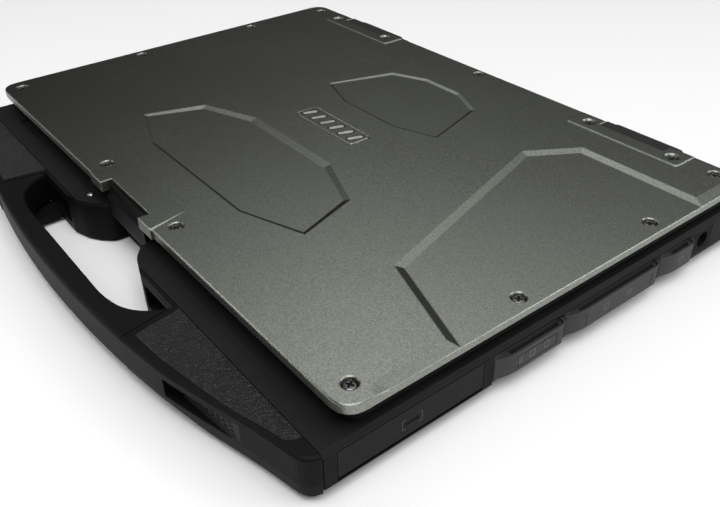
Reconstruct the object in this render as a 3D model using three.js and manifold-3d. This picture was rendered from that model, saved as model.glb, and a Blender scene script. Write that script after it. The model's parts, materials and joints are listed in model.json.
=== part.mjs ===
// Semi-rugged notebook computer with a fixed carry handle, closed, standing on its rubber feet.
// Millimetres. +X is the user's right, +Y runs from the handle to the hinges, +Z is up.
// The origin is on the table, under the middle of the whole computer.
import * as THREE from 'three';
import { ConvexGeometry } from 'three/addons/geometries/ConvexGeometry.js';
import { mergeVertices } from 'three/addons/utils/BufferGeometryUtils.js';
import Module from 'manifold-3d';

const wasm = await Module();
wasm.setup();

// ---------------------------------------------------------------- driving dimensions
const GAP = 0.3; // clearance between pieces that touch on the real computer

// Every y below is counted from the lid's front edge. This is where that edge lies.
const LID_FRONT_Y = -105.5;

const LID = { half: 171, depth: 236, top: 34.5, side: 5, bevel: 0.5, corner: 10, plate: 2.2, rim: 2.5 };
const BEZEL = { inset: 3, top: -5.3, plateTop: -9.2, bottom: -11.2, corner: 8 };
const SCREEN = { half: 157, front: 30, rear: 214, top: -5.9, bottom: -8.9 };
const LATCH_NOTCH = { half: 20.5, depth: 5 };
const HINGE = { inner: 91, outer: 130, front: 229.5, y: 243.5, z: 23, pin: 2.4, knuckle: 7.3 };
const HINGE_PAD = { inner: 76, outer: 143.5, front: 220.5, rear: 235.4, rise: 0.4 };

const BASE = { half: 172, rear: 252, seam: 20.3, wallLow: 5.7, bottom: 1, taper: 7 };
const WALL = 2.5; // side wall of the bottom case
const FLOOR = 3; // top of the bottom case's floor
const DECK = { top: 22.5, bottom: 19.3, rear: 236.7, front: -10, half: 172, chamfer: 1.7 };
const LEDGE = { front: 237, top: 19.5 }; // low strip behind the deck that the lid swings over
const FRONT_WALL = -12; // front of the base between the bumpers
const BUMPER_REAR = -10.3;
const HANDLE = { top: 22.4, bottom: 4 };
const FOOT_RADIUS = 8;

const BATTERY = { front: -4.3, rear: 63, inner: 76, bottom: 6.6, top: 18.9 };
const MEDIA = { front: 10, rear: 138, inner: 46, bottom: 6.6, top: 18.9 };
const PANEL_TOP = 20; // top of the battery's and the media module's outer panels
const VENT = { front: 181, rear: 234, low: 7.5, high: 18.5 };
const FAN = { x: -127, y: 203, half: 25, length: 30, low: 7, high: 18 };
const JACK = { y: 205.5, z: 13.8, hole: 4, body: 5, front: 197.5, rear: 212, low: 8.6, high: 18.8 };
const KEYBOARD = { half: 150, front: 112, rear: 222, margin: 3, unit: 19.6, gap: 2.6 };
const TOUCHPAD = { half: 48, front: 24, rear: 76 };
const PALM = { half: 142.6, front: -1.4, rear: 104, depth: 1 };
const POWER = { x: 150, y: 229.5, radius: 5 };

// Hinged covers over the sockets: side, front end, rear end, top edge of the face, and how much of
// the groove round the face's middle is there.
const PORT_COVERS = [
  { name: 'port_cover_a', side: 1, front: 69, rear: 106.6, top: 17.4, groove: 'frame' },
  { name: 'port_cover_b', side: 1, front: 109.4, rear: 168.6, top: 17.6, groove: 'ends' },
  { name: 'port_cover_c', side: 1, front: 172.5, rear: 195, top: 17.6, groove: 'none' },
  { name: 'port_cover_left', side: -1, front: 143.5, rear: 174, top: 17.6, groove: 'frame' },
];
const COVER = {
  face: 174.2, back: 170.6, low: 7.3, rim: 19.5, plug: 168.5, ramp: 7.5, lip: 1.1, shelf: 171.7,
};

// Sockets behind the covers: front end, rear end and height of each opening.
const RIGHT_SOCKETS = [
  { front: 77, rear: 90, height: 5.6 },
  { front: 115, rear: 128, height: 5.6 },
  { front: 132, rear: 147.4, height: 5 },
  { front: 151, rear: 162.6, height: 6.4 },
  { front: 177.5, rear: 190.5, height: 5.6 },
];
const LEFT_SOCKETS = [{ front: 147.6, rear: 160.6, height: 5.6 }];

const LID_SCREWS = [
  [161, 9.6], [37, 9.6], [164, 88.2], [163.8, 171], [159, 228.3], [85.4, 228], [136.4, 227.2],
].flatMap(([x, y]) => [[x, y], [-x, y]]).concat([[0, 231]]);
const SCREW = { seat: 3.1, mouth: 0.5, depth: 1.5, head: 2.5, headHeight: 0.8, shank: 1.2 };

// Shallow panels pressed into the lid, each drawn round its upper edge: the depth of each one's
// floor at its front and at its rear, and how far its sides lean for each millimetre of depth.
const PRESS_DEPTH = { front: [0.4, 1.1], rear: [0.25, 0.6], side: [1.1, 1.1] };
const PRESS_SLOPE = 3.3;
const mirrored = (half) => half.concat(half.map(([x, ...rest]) => [-x, ...rest]).reverse());
const FRONT_PRESS = mirrored([[43.6, 37], [78, 49], [67.6, 81.6], [34.6, 94.5]]);
const REAR_PRESS = mirrored([[21, 145], [47, 153.6], [35, 192.7], [13.8, 202]]);
const SIDE_PRESS = [[180, 48], [180, 202.5], [101.8, 202.5], [85.2, 176.4], [119.3, 63.9], [169.3, 48]];

// ---------------------------------------------------------------- materials
const finish = (color, roughness, metalness) => ({ color, roughness, metalness });
const PAINT = finish(0x6d6f68, 0.45, 0.6);
const CASE = finish(0x1f2121, 0.6, 0);
const TEXTURED = finish(0x191a1a, 0.75, 0);
const RUBBER = finish(0x101010, 0.9, 0);
const STEEL = finish(0x8d8f90, 0.35, 0.9);
const DARK_STEEL = finish(0x4a4c4e, 0.4, 0.9);
const COPPER = finish(0xb06f4a, 0.35, 0.9);
const BOARD = finish(0x1d4a2c, 0.6, 0);
const GLASS = finish(0x08090b, 0.08, 0);

// ---------------------------------------------------------------- solids
function solid(geometry) {
  geometry.deleteAttribute('normal');
  geometry.deleteAttribute('uv');
  const merged = mergeVertices(geometry, 1e-4);
  const mesh = new wasm.Mesh({
    numProp: 3,
    vertProperties: new Float32Array(merged.attributes.position.array),
    triVerts: new Uint32Array(merged.index.array),
  });
  return new wasm.Manifold(mesh);
}

function joined(pieces) {
  return pieces.reduce((whole, piece) => whole.add(piece));
}

function cut(body, ...tools) {
  return tools.flat().reduce((whole, tool) => whole.subtract(tool), body);
}

function box(x0, x1, y0, y1, z0, z1) {
  const geometry = new THREE.BoxGeometry(Math.abs(x1 - x0), y1 - y0, z1 - z0);
  return solid(geometry.translate((x0 + x1) / 2, (y0 + y1) / 2, (z0 + z1) / 2));
}

// A box between two distances from the middle, on one side: side is 1 or -1.
function sideBox(side, near, far, y0, y1, z0, z1) {
  return box(side * near, side * far, y0, y1, z0, z1);
}

function upright(x, y, radius, z0, z1, segments = 16) {
  const geometry = new THREE.CylinderGeometry(radius, radius, z1 - z0, segments);
  return solid(geometry.rotateX(Math.PI / 2).translate(x, y, (z0 + z1) / 2));
}

function across(x0, x1, y, z, radius, segments = 24) {
  const geometry = new THREE.CylinderGeometry(radius, radius, Math.abs(x1 - x0), segments);
  return solid(geometry.rotateZ(Math.PI / 2).translate((x0 + x1) / 2, y, z));
}

// A closed outline through [x, y, corner radius] points, its corners rounded.
function outline(points) {
  const corners = points.map(([x, y, radius = 0]) => ({ at: new THREE.Vector2(x, y), radius }));
  const shape = new THREE.Shape();
  corners.forEach(({ at, radius }, i) => {
    const before = corners.at(i - 1).at;
    const after = corners[(i + 1) % corners.length].at;
    const start = at.clone().add(before.clone().sub(at).setLength(radius));
    const end = at.clone().add(after.clone().sub(at).setLength(radius));
    if (i === 0) {
      shape.moveTo(start.x, start.y);
    } else {
      shape.lineTo(start.x, start.y);
    }
    if (radius > 0) {
      shape.quadraticCurveTo(at.x, at.y, end.x, end.y);
    }
  });
  return shape;
}

function roundedRect(half, y0, y1, radius) {
  return outline([[-half, y0, radius], [half, y0, radius], [half, y1, radius], [-half, y1, radius]]);
}

function prism(shape, z0, z1, curveSegments = 5) {
  const options = { depth: z1 - z0, bevelEnabled: false, curveSegments };
  return solid(new THREE.ExtrudeGeometry(shape, options).translate(0, 0, z0));
}

// A section drawn in (y, z), run along x.
const ALONG_X = new THREE.Matrix4().makeBasis(
  new THREE.Vector3(0, 1, 0), new THREE.Vector3(0, 0, 1), new THREE.Vector3(1, 0, 0),
);
function bar(section, x0, x1) {
  const low = Math.min(x0, x1);
  const depth = Math.abs(x1 - x0);
  const geometry = new THREE.ExtrudeGeometry(section, { depth, bevelEnabled: false, curveSegments: 6 });
  return solid(geometry.applyMatrix4(ALONG_X).translate(low, 0, 0));
}

// A section drawn in (x, z), run along y.
const ALONG_Y = new THREE.Matrix4().makeBasis(
  new THREE.Vector3(1, 0, 0), new THREE.Vector3(0, 0, 1), new THREE.Vector3(0, -1, 0),
);
function beam(section, y0, y1) {
  const geometry = new THREE.ExtrudeGeometry(section, { depth: y1 - y0, bevelEnabled: false });
  return solid(geometry.applyMatrix4(ALONG_Y).translate(0, y1, 0));
}

function inset(points, distance) {
  return points.map((at, i) => {
    const into = at.clone().sub(points.at(i - 1)).normalize();
    const away = points[(i + 1) % points.length].clone().sub(at).normalize();
    const normal = new THREE.Vector2(-into.y - away.y, into.x + away.x).normalize();
    const reach = distance / Math.max(0.3, normal.dot(new THREE.Vector2(-into.y, into.x)));
    return at.clone().addScaledVector(normal, reach);
  });
}

// A solid through level rings of one outline: each ring is [z, inset].
function stack(shape, rings, curveSegments = 5) {
  const points = shape.getPoints(curveSegments);
  if (points[0].distanceTo(points.at(-1)) < 1e-6) {
    points.pop();
  }
  if (THREE.ShapeUtils.area(points) < 0) {
    points.reverse();
  }
  const count = points.length;
  const levels = rings.map(([z, distance]) => ({ z, ring: inset(points, distance) }));
  const positions = levels.flatMap(({ z, ring }) => ring.flatMap((at) => [at.x, at.y, z]));
  const indices = [];
  for (let level = 0; level < rings.length - 1; level += 1) {
    for (let i = 0; i < count; i += 1) {
      const a = level * count + i;
      const b = level * count + ((i + 1) % count);
      indices.push(a, b, b + count, a, b + count, a + count);
    }
  }
  const last = (rings.length - 1) * count;
  THREE.ShapeUtils.triangulateShape(levels[0].ring, []).forEach(([a, b, c]) => indices.push(a, c, b));
  THREE.ShapeUtils.triangulateShape(levels.at(-1).ring, []).forEach(([a, b, c]) => {
    indices.push(last + a, last + b, last + c);
  });
  const geometry = new THREE.BufferGeometry();
  geometry.setAttribute('position', new THREE.Float32BufferAttribute(positions, 3));
  geometry.setIndex(indices);
  return solid(geometry);
}

// ---------------------------------------------------------------- the scene graph
const group = new THREE.Group();
const base = new THREE.Group();
base.position.y = LID_FRONT_Y;
const lid = new THREE.Group();
lid.position.set(0, LID_FRONT_Y, LID.top);
group.add(base, lid);

function piece(name, manifold, look, parent) {
  const { vertProperties, triVerts } = manifold.getMesh();
  const geometry = new THREE.BufferGeometry();
  geometry.setAttribute('position', new THREE.Float32BufferAttribute(vertProperties, 3));
  geometry.setIndex(new THREE.Uint32BufferAttribute(triVerts, 1));
  geometry.computeVertexNormals();
  const mesh = new THREE.Mesh(geometry, new THREE.MeshStandardMaterial(look));
  mesh.name = name;
  parent.add(mesh);
}

// ---------------------------------------------------------------- lid (z counted from its top)
const inSidePress = (x, y) => x > 160 && y > SIDE_PRESS[0][1] && y < SIDE_PRESS[1][1];
const screwSeat = (x, y) => (inSidePress(x, y) ? -PRESS_DEPTH.side[0] : 0);

// A shallow panel whose floor sinks evenly from one depth to the other between its two ends.
function pressed(points, [frontDepth, rearDepth]) {
  const ring = points.map(([x, y]) => new THREE.Vector2(x, y));
  const [front, rear] = [Math.min(...ring.map(({ y }) => y)), Math.max(...ring.map(({ y }) => y))];
  const depthAt = (y) => THREE.MathUtils.mapLinear(y, front, rear, frontDepth, rearDepth);
  const floor = ring.map((corner, i) => {
    let foot = corner;
    for (let pass = 0; pass < 4; pass += 1) {
      foot = inset(ring, PRESS_SLOPE * depthAt(foot.y))[i];
    }
    return new THREE.Vector3(foot.x, foot.y, -depthAt(foot.y));
  });
  const mouth = [0, 1].flatMap((z) => ring.map(({ x, y }) => new THREE.Vector3(x, y, z)));
  return solid(new ConvexGeometry([...floor, ...mouth]));
}

// Behind the near corner, the right edge falls away to the level of the side panel.
function edgeFall() {
  const [inner, outer, depth] = [165.5, 174, 1.7];
  const corners = [
    [inner, 16, 0], [outer, 9, 0], [outer, 20, -depth], [inner, 236, 0], [outer, 236, -depth],
    [inner, 16, 1], [outer, 9, 1], [inner, 236, 1], [outer, 236, 1],
  ];
  return solid(new ConvexGeometry(corners.map((at) => new THREE.Vector3(...at))));
}

// The front edge swells a little round the latch.
function latchSwell() {
  const wide = LATCH_NOTCH.half + 12.5;
  const narrow = LATCH_NOTCH.half + 7.5;
  const corners = [-1, 1].flatMap((side) => [
    [side * wide, -0.8, 0.1], [side * (wide - 0.4), -0.4, 0.45], [side * narrow, 19, 0.02],
    [side * wide, -0.8, -LID.side], [side * narrow, 19, -1],
    [side * wide, 4, -LID.side],
  ]);
  return solid(new ConvexGeometry(corners.map((at) => new THREE.Vector3(...at))));
}

function hingePad(side) {
  const { inner, outer, front, rear, rise } = HINGE_PAD;
  const shape = outline([
    [side * inner, front, 2], [side * outer, front, 2], [side * outer, rear], [side * inner, rear],
  ]);
  return stack(shape, [[-1, 0], [0.05, 0], [rise, rise]]);
}

// The counterbore of a lid screw, wider at its mouth.
function screwWell(x, y) {
  const z = screwSeat(x, y);
  const { seat, depth, mouth } = SCREW;
  const shape = new THREE.Shape().absarc(0, 0, seat + mouth, 0, Math.PI * 2);
  const rings = [[z - depth, mouth], [z - mouth + 0.1, mouth], [z + 0.1, 0], [z + 1, 0]];
  return stack(shape, rings, 14).translate([x, y, 0]);
}

function makeLidCover() {
  const shape = roundedRect(LID.half, 0, LID.depth, LID.corner);
  const levels = [[-LID.side, 0.7], [-LID.side + 0.8, 0], [-LID.bevel, 0], [0, LID.bevel]];
  const shell = stack(shape, levels, 12);
  const { rim } = LID;
  const hollowShape = roundedRect(LID.half - rim, rim, LID.depth - rim, LID.corner - rim);
  const walls = [
    box(-LATCH_NOTCH.half - 2.2, LATCH_NOTCH.half + 2.2, 0, LATCH_NOTCH.depth + 2.2, -8, 0),
    ...[1, -1].map((side) => sideBox(side, HINGE.inner - 2.3, HINGE.outer + 2.3, 227.2, 236, -8, 0)),
    ...LID_SCREWS.filter(([x, y]) => inSidePress(x, y)).map(
      ([x, y]) => upright(x, y, 4.4, -3.8, 0, 12),
    ),
  ];
  const hollow = cut(prism(hollowShape, -LID.side - 1, -LID.plate), walls);
  const whole = cut(joined([shell, latchSwell(), hingePad(1), hingePad(-1)]), hollow);
  const notches = [
    box(-LATCH_NOTCH.half, LATCH_NOTCH.half, -2, LATCH_NOTCH.depth, -8, 1),
    ...[1, -1].flatMap((side) => [
      sideBox(side, HINGE.inner, HINGE.outer, HINGE.front, 240, -8, 1),
      sideBox(side, 95.2, 125.8, 226, 230, -8, -3.4),
    ]),
  ];
  const seats = LID_SCREWS.flatMap(([x, y]) => [
    screwWell(x, y),
    upright(x, y, SCREW.shank + GAP, -5, 0, 6),
  ]);
  const plateSeat = prism(roundedRect(25, 114, 128, 3), -0.5, 1);
  const panels = [
    pressed(FRONT_PRESS, PRESS_DEPTH.front),
    pressed(REAR_PRESS, PRESS_DEPTH.rear),
    pressed(SIDE_PRESS, PRESS_DEPTH.side),
  ];
  piece('lid_cover', cut(whole, panels, edgeFall(), notches, seats, plateSeat), PAINT, lid);
  const plate = stack(roundedRect(24.7, 114.3, 127.7, 2.7), [[-0.4, 0], [0.1, 0], [0.35, 0.35]]);
  piece('nameplate', plate, STEEL, lid);
}

function makeLidScrew([x, y], index) {
  const seat = screwSeat(x, y) - SCREW.depth + 0.05;
  const head = stack(
    new THREE.Shape().absarc(0, 0, SCREW.head, 0, Math.PI * 2),
    [[seat, 0], [seat + SCREW.headHeight, 0.3]],
    6,
  ).translate([x, y, 0]);
  const shank = upright(x, y, SCREW.shank, -6.4, seat + 0.1, 6);
  const slots = [
    box(x - 1.5, x + 1.5, y - 0.4, y + 0.4, seat + 0.3, 1),
    box(x - 0.4, x + 0.4, y - 1.5, y + 1.5, seat + 0.3, 1),
  ];
  piece(`lid_screw_${index + 1}`, cut(head.add(shank), slots), DARK_STEEL, lid);
}

function makeBezel() {
  const { inset: margin, top, plateTop, bottom, corner } = BEZEL;
  const shape = roundedRect(LID.half - margin, margin, LID.depth - margin, corner);
  const rim = stack(shape, [[bottom, 0.8], [bottom + 0.8, 0], [top, 0]]);
  const inside = prism(
    roundedRect(LID.half - margin - 2.2, margin + 2.2, LID.depth - margin - 2.2, corner - 2.2), plateTop, 0,
  );
  const bosses = LID_SCREWS.map(([x, y]) => upright(x, y, 2.7, plateTop - 0.5, -4.1, 8));
  const bossHoles = LID_SCREWS.map(([x, y]) => upright(x, y, SCREW.shank + GAP, -7.4, 0, 6));
  const posts = joined(bosses).intersect(prism(shape, bottom, 0));
  const windowSection = roundedRect(SCREEN.half - 2, SCREEN.front + 4, SCREEN.rear - 4, 1.5);
  const openings = [
    stack(windowSection, [[bottom - 0.1, -0.6], [bottom + 0.6, 0], [0, 0]]),
    box(-LATCH_NOTCH.half - 1, LATCH_NOTCH.half + 1, 0, LATCH_NOTCH.depth + 3, -12, 0),
    ...[1, -1].map((side) => sideBox(side, HINGE.inner - 0.8, HINGE.outer + 0.8, 227, 236, -12, 0)),
    upright(0, 19, 3, -12, 0, 20),
  ];
  piece('lid_bezel', cut(cut(rim, inside).add(posts), bossHoles, openings), CASE, lid);
}

function makeScreen() {
  const panel = box(-SCREEN.half, SCREEN.half, SCREEN.front, SCREEN.rear, SCREEN.bottom, SCREEN.top);
  piece('screen_panel', panel, GLASS, lid);
  const round = new THREE.Shape().absarc(0, 19, 2.6, 0, Math.PI * 2);
  const lens = stack(round, [[-11, 0.5], [-10.6, 0], [-8, 0]]);
  piece('webcam', box(-16, 16, 15, 23, -8.9, -5.5).add(lens), RUBBER, lid);
}

// A paddle that hangs from the lid in front of the base and hooks behind its catch.
function makeLatch() {
  const section = outline([
    [0.9, -7.6], [2.5, -5.4], [2.8, -1.2], [3.9, -1.2], [3.9, -8], [4.4, -9.5],
    [4.4, -18.4], [3.6, -19.6], [1.6, -19.6], [0.9, -17.6],
  ]);
  const width = LATCH_NOTCH.half - 0.7;
  const hook = box(-7, 7, 4.2, 4.9, -17.5, -16);
  piece('lid_latch', bar(section, -width, width).add(hook), CASE, lid);
}

function makeHinge(side, word) {
  const axis = HINGE.z - LID.top;
  const { inner, outer, y } = HINGE;
  const arm = bar(outline([
    [HINGE.front + GAP, 0.1], [236.4, 0.1], [240, -4.2], [246, axis + 6.6], [246, axis], [238, axis - 1],
    [234, -9.6], [HINGE.front + GAP, -8.6],
  ]), side * (inner + GAP), side * (outer - GAP));
  const barrel = across(side * (inner + GAP), side * (outer - GAP), y, axis, HINGE.knuckle);
  const leaf = sideBox(side, 95.7, 125.3, 216.5, 231, -6.8, -3.8);
  const bore = across(side * (inner - 1), side * (outer + 1), y, axis, HINGE.pin + 0.2);
  piece(`hinge_knuckle_${word}`, cut(joined([arm, barrel, leaf]), bore), CASE, lid);

  const ear = (near, far) => {
    const round = across(side * near, side * far, y, HINGE.z, 6.5);
    const foot = sideBox(side, near, far, y - 5.5, y + 5.5, LEDGE.top + GAP, HINGE.z);
    return cut(round.add(foot), sideBox(side, near - 1, far + 1, y - 9, y + 9, 10, LEDGE.top + GAP));
  };
  const pin = across(side * (inner - 2), side * (outer + 2), y, HINGE.z, HINGE.pin);
  const bracket = joined([ear(83.5, inner - GAP), ear(outer + GAP, 137.5), pin]);
  piece(`hinge_bracket_${word}`, bracket, CASE, base);
}

// ---------------------------------------------------------------- base (z counted from the table)
// The notch in the base's front edge that gives a thumb room under the latch.
const THUMB_NOTCH = mirrored([
  [20.8, 7], [20.8, 0.5, 2], [25, -4, 3], [31, -8.6, 3.6], [42, FRONT_WALL - 0.1], [42, -20],
]);
const thumbNotch = () => prism(outline(THUMB_NOTCH), -1, 40);

function coverPocket({ side, front, rear, top }) {
  const recess = sideBox(side, 170.3, 180, front - 0.6, rear + 0.6, 4.2, PANEL_TOP - 0.2);
  return [recess, sideBox(side, 160, 171, front + 3, rear - 3, 8.8, top - 0.8)];
}

function caseHollow() {
  const low = prism(roundedRect(166, -7.2, 247, 2), FLOOR, 8);
  const high = box(-BASE.half + WALL, BASE.half - WALL, -7.2, 235, 7.5, 21);
  const rear = box(-BASE.half + WALL, BASE.half - WALL, 234, BASE.rear - WALL, 7.5, 17.3);
  const keep = [
    box(-45, 45, -8, 9.5, 0, 22),
    ...[1, -1].flatMap((side) => [
      sideBox(side, 44, 72, -8, -0.5, 0, 22),
      sideBox(side, HINGE.inner - 3, HINGE.outer + 3, 234.5, 252, 12, 22),
    ]),
    box(72.5, 74, -8, 65.1, 0, 19),
    box(72.5, 172, 63.6, 65.1, 0, 19),
    box(-44.5, -43, -8, 140.5, 0, 19),
    box(-172, -43, 139, 140.5, 0, 19),
    ...[[2, 5], [52, 55]].map(([y0, y1]) => box(80, 160, y0, y1, 0, BATTERY.bottom - GAP)),
    ...[[24, 28], [120, 124]].map(([y0, y1]) => box(-160, -50, y0, y1, 0, MEDIA.bottom - GAP)),
  ];
  return cut(joined([low, high, rear]), keep);
}

function makeBottomCase() {
  const { half, rear, seam, wallLow, bottom, taper } = BASE;
  const shape = outline([
    [-half, -9.9], [-71.6, -9.9], [-71.6, FRONT_WALL], [71.6, FRONT_WALL], [71.6, -9.9],
    [half, -9.9], [half, rear, 8], [-half, rear, 8],
  ]);
  const skirtSide = (side) => beam(outline([
    [side * half, wallLow], [side * (half - taper), bottom - 0.1], [side * (half + 5), bottom - 0.1],
    [side * (half + 5), wallLow],
  ]), -30, 270);
  const skirtRear = bar(outline([
    [rear, wallLow], [rear - taper, bottom - 0.1], [rear + 5, bottom - 0.1], [rear + 5, wallLow],
  ]), -180, 180);
  const lip = box(-71.6, 71.6, FRONT_WALL, DECK.front - GAP, 15, DECK.top - 0.1);
  const ledge = box(-180, 180, LEDGE.front, 260, LEDGE.top, 30);
  const block = cut(prism(shape, bottom, seam, 6), ledge).add(lip);
  const fingerHollows = [1, -1].map((side) => sideBox(side, 43.5, 69.5, -14, -3, 5, 17));
  const windows = [
    box(160, 180, BATTERY.front - GAP, BATTERY.rear + GAP, BATTERY.bottom - GAP, 25),
    box(-180, -160, MEDIA.front - GAP, MEDIA.rear + GAP, MEDIA.bottom - GAP, 25),
    box(-180, -160, VENT.front - GAP, VENT.rear + GAP, VENT.low - GAP, VENT.high + GAP),
    box(165, 180, JACK.front - GAP, JACK.rear + GAP, JACK.low - GAP, JACK.high + GAP),
    ...PORT_COVERS.flatMap(coverPocket),
  ];
  const below = [
    ...footPlaces().map(([x, y]) => upright(x, y, FOOT_RADIUS + GAP, 0, 1.6, 24)),
    box(118, 138, 72, 92, 0, 2.2),
    ...airSlots(),
  ];
  const hollowed = cut(block, caseHollow());
  const shaped = cut(hollowed, skirtSide(1), skirtSide(-1), skirtRear, thumbNotch());
  piece('base_bottom_case', cut(shaped, hingeTroughs(), fingerHollows, windows, below), CASE, base);
}

// Room for the hinge knuckles to turn in.
function hingeTroughs() {
  return [1, -1].map((side) => across(
    side * (HINGE.inner - 0.1), side * (HINGE.outer + 0.1), HINGE.y, HINGE.z, HINGE.knuckle + 0.8,
  ));
}

function airSlots() {
  return Array.from({ length: 9 }, (_, i) => {
    const y = 186 + i * 4.6;
    return box(-150, -104, y, y + 2, 0, 4);
  });
}

function footPlaces() {
  return [[140, 14], [-140, 14], [140, 226], [-140, 226]];
}

function makeFeet() {
  footPlaces().forEach(([x, y], index) => {
    const round = new THREE.Shape().absarc(x, y, FOOT_RADIUS, 0, Math.PI * 2);
    piece(`rubber_foot_${index + 1}`, stack(round, [[0, 0.8], [0.8, 0], [1.5, 0]], 12), RUBBER, base);
  });
}

function makeTopCover() {
  const { top, bottom, rear, front, half, chamfer } = DECK;
  const rim = prism(roundedRect(half, front, rear, 0.5), BASE.seam + GAP, top);
  const plug = box(-half + WALL + GAP, half - WALL - GAP, front + 3, 234.2, bottom, BASE.seam + 1);
  const chamferSide = (side) => beam(outline([
    [side * half, top - chamfer + 0.05], [side * (half - chamfer), top], [side * (half - chamfer), 25],
    [side * (half + 5), 25], [side * (half + 5), top - chamfer + 0.05],
  ]), -30, 270);
  const palm = prism(roundedRect(PALM.half, PALM.front, PALM.rear, 4), top - PALM.depth, 25);
  const keys = prism(roundedRect(KEYBOARD.half, KEYBOARD.front, KEYBOARD.rear, 2), top - 2.3, 25);
  const padHalf = TOUCHPAD.half + GAP;
  const pad = box(-padHalf, padHalf, TOUCHPAD.front, TOUCHPAD.rear, top - 2.1, 25);
  const clickHoles = box(-padHalf, padHalf, 9.7, 21.3, 15, 25);
  const rib = box(-0.7, 0.7, 9, 22, bottom, top - PALM.depth);
  const powerHole = upright(POWER.x, POWER.y, POWER.radius + GAP, 15, 25, 24);
  const frontBlock = [
    box(-45.3, 45.3, -11, 9.8, 15, BASE.seam + GAP),
    ...[1, -1].map((side) => sideBox(side, 45, 72.3, -11, -0.2, 15, BASE.seam + GAP)),
  ];
  const sheet = cut(rim.add(plug), chamferSide(1), chamferSide(-1), frontBlock, thumbNotch());
  const opened = cut(sheet, palm, keys, pad, cut(clickHoles, rib), powerHole, hingeTroughs());
  piece('base_top_cover', opened, CASE, base);
}

function makeControls() {
  const top = DECK.top - PALM.depth;
  const { half, front, rear } = TOUCHPAD;
  const padShape = roundedRect(half, front + GAP, rear - GAP, 2);
  const pad = stack(padShape, [[20.6, 0], [top - 0.3, 0], [top - 0.1, 0.2]]);
  piece('touchpad', pad, TEXTURED, base);
  [[-1, 'left'], [1, 'right']].forEach(([side, word]) => {
    const shape = outline([
      [side * 1, 10, 0.8], [side * half, 10, 0.8], [side * half, 21, 0.8], [side * 1, 21, 0.8],
    ]);
    const key = stack(shape, [[20.2, 0], [top + 0.1, 0], [top + 0.4, 0.3]]);
    piece(`touchpad_button_${word}`, key, CASE, base);
  });
  const round = new THREE.Shape().absarc(POWER.x, POWER.y, POWER.radius, 0, Math.PI * 2);
  const cap = stack(round, [[20.2, 0], [DECK.top - 0.1, 0], [DECK.top + 0.2, 0.4]], 12);
  piece('power_button', cap, DARK_STEEL, base);
}

// One moulded rubber sheet carries every key cap.
const KEY_ROWS = [
  { depth: 11, widths: Array(15).fill(1) },
  { depth: 18.4, widths: [...Array(13).fill(1), 2] },
  { depth: 18.4, widths: [1.5, ...Array(12).fill(1), 1.5] },
  { depth: 18.4, widths: [1.8, ...Array(11).fill(1), 2.2] },
  { depth: 18.4, widths: [2.3, ...Array(10).fill(1), 2.7] },
  { depth: 18.4, widths: [1.25, 1, 1, 1.25, 5.5, 1, 1, 1, 1, 1] },
];

function makeKeyboard() {
  const sheet = prism(
    roundedRect(KEYBOARD.half - GAP, KEYBOARD.front + GAP, KEYBOARD.rear - GAP, 2), 20.4, 21,
  );
  const caps = [];
  const margin = KEYBOARD.gap / 2;
  let rear = KEYBOARD.rear - KEYBOARD.margin;
  KEY_ROWS.forEach(({ depth, widths }) => {
    let left = -7.5 * KEYBOARD.unit;
    widths.forEach((width) => {
      const right = left + width * KEYBOARD.unit;
      const [x0, x1] = [left + margin, right - margin];
      const [y0, y1] = [rear - depth + margin, rear - margin];
      const shape = outline([[x0, y0], [x1, y0], [x1, y1], [x0, y1]]);
      caps.push(stack(shape, [[20.8, 0], [22.6, 0.9]]));
      left = right;
    });
    rear -= depth;
  });
  piece('keyboard_mat', joined([sheet, ...caps]), RUBBER, base);
}

// ---------------------------------------------------------------- bumpers, handle and speakers
const BUMPER_FRONT = [[76.4, -36.7], [103, -32.9, 8], [123, -27.7], [146, -21.4, 9]];
const [, FACE_NEAR, , FACE_FAR] = BUMPER_FRONT;
const FACE_ANGLE = Math.atan2(FACE_FAR[1] - FACE_NEAR[1], FACE_FAR[0] - FACE_NEAR[0]);
const SPEAKER = { x: 121.6, y: -27.9, low: 9.95, high: 18.45, half: 19.5, pocket: 4.6, wall: 1.2 };
const SOUND_SLOT = {
  columns: 9, rows: 4, first: -15, pitch: 3.7, rise: 1.9, slant: 0.45, length: 2.3, height: 1,
};

// A solid laid along the bumper's slanting face, outlined in (distance along it, depth into it).
function faceSolid(side, points, z0, z1) {
  const options = { depth: z1 - z0, bevelEnabled: false, curveSegments: 5 };
  const geometry = new THREE.ExtrudeGeometry(outline(points), options).translate(0, 0, z0);
  const body = solid(geometry.rotateZ(FACE_ANGLE).translate(SPEAKER.x, SPEAKER.y, 0));
  return side > 0 ? body : body.mirror([1, 0, 0]);
}

// The recess in front of the speaker is a pocket at its inner end and runs out level with the face.
function speakerRecess(side) {
  const { half, pocket, low, high } = SPEAKER;
  return faceSolid(side, [
    [-half, -5], [-half, pocket - 1, 1.5], [-half + 3, pocket, 1.5], [-half + 6.5, pocket - 0.6, 1],
    [half, 0], [half, -5],
  ], low, high);
}

function soundSlots(side) {
  const { columns, rows, first, pitch, rise, slant, length, height } = SOUND_SLOT;
  return Array.from({ length: columns * rows }, (_, i) => {
    const [column, row] = [i % columns, Math.floor(i / columns)];
    const s = first + column * pitch - row * slant;
    const z = SPEAKER.low + 0.8 + row * rise;
    return faceSolid(side, [[s, -1], [s + length, -1], [s + length, 7], [s, 7]], z, z + height);
  });
}

// A layer behind the slanting floor of the speaker recess, between two depths under it.
function behindRecess(side, near, far, margin) {
  const { half, pocket, low, high } = SPEAKER;
  const [s0, s1] = [-half + 6.5 + margin, half - margin];
  return faceSolid(side, [
    [s0, pocket + near], [s1, 0.3 + near], [s1, 0.3 + far], [s0, pocket + far],
  ], low + 0.3 + margin, high - 0.3 - margin);
}

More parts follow.
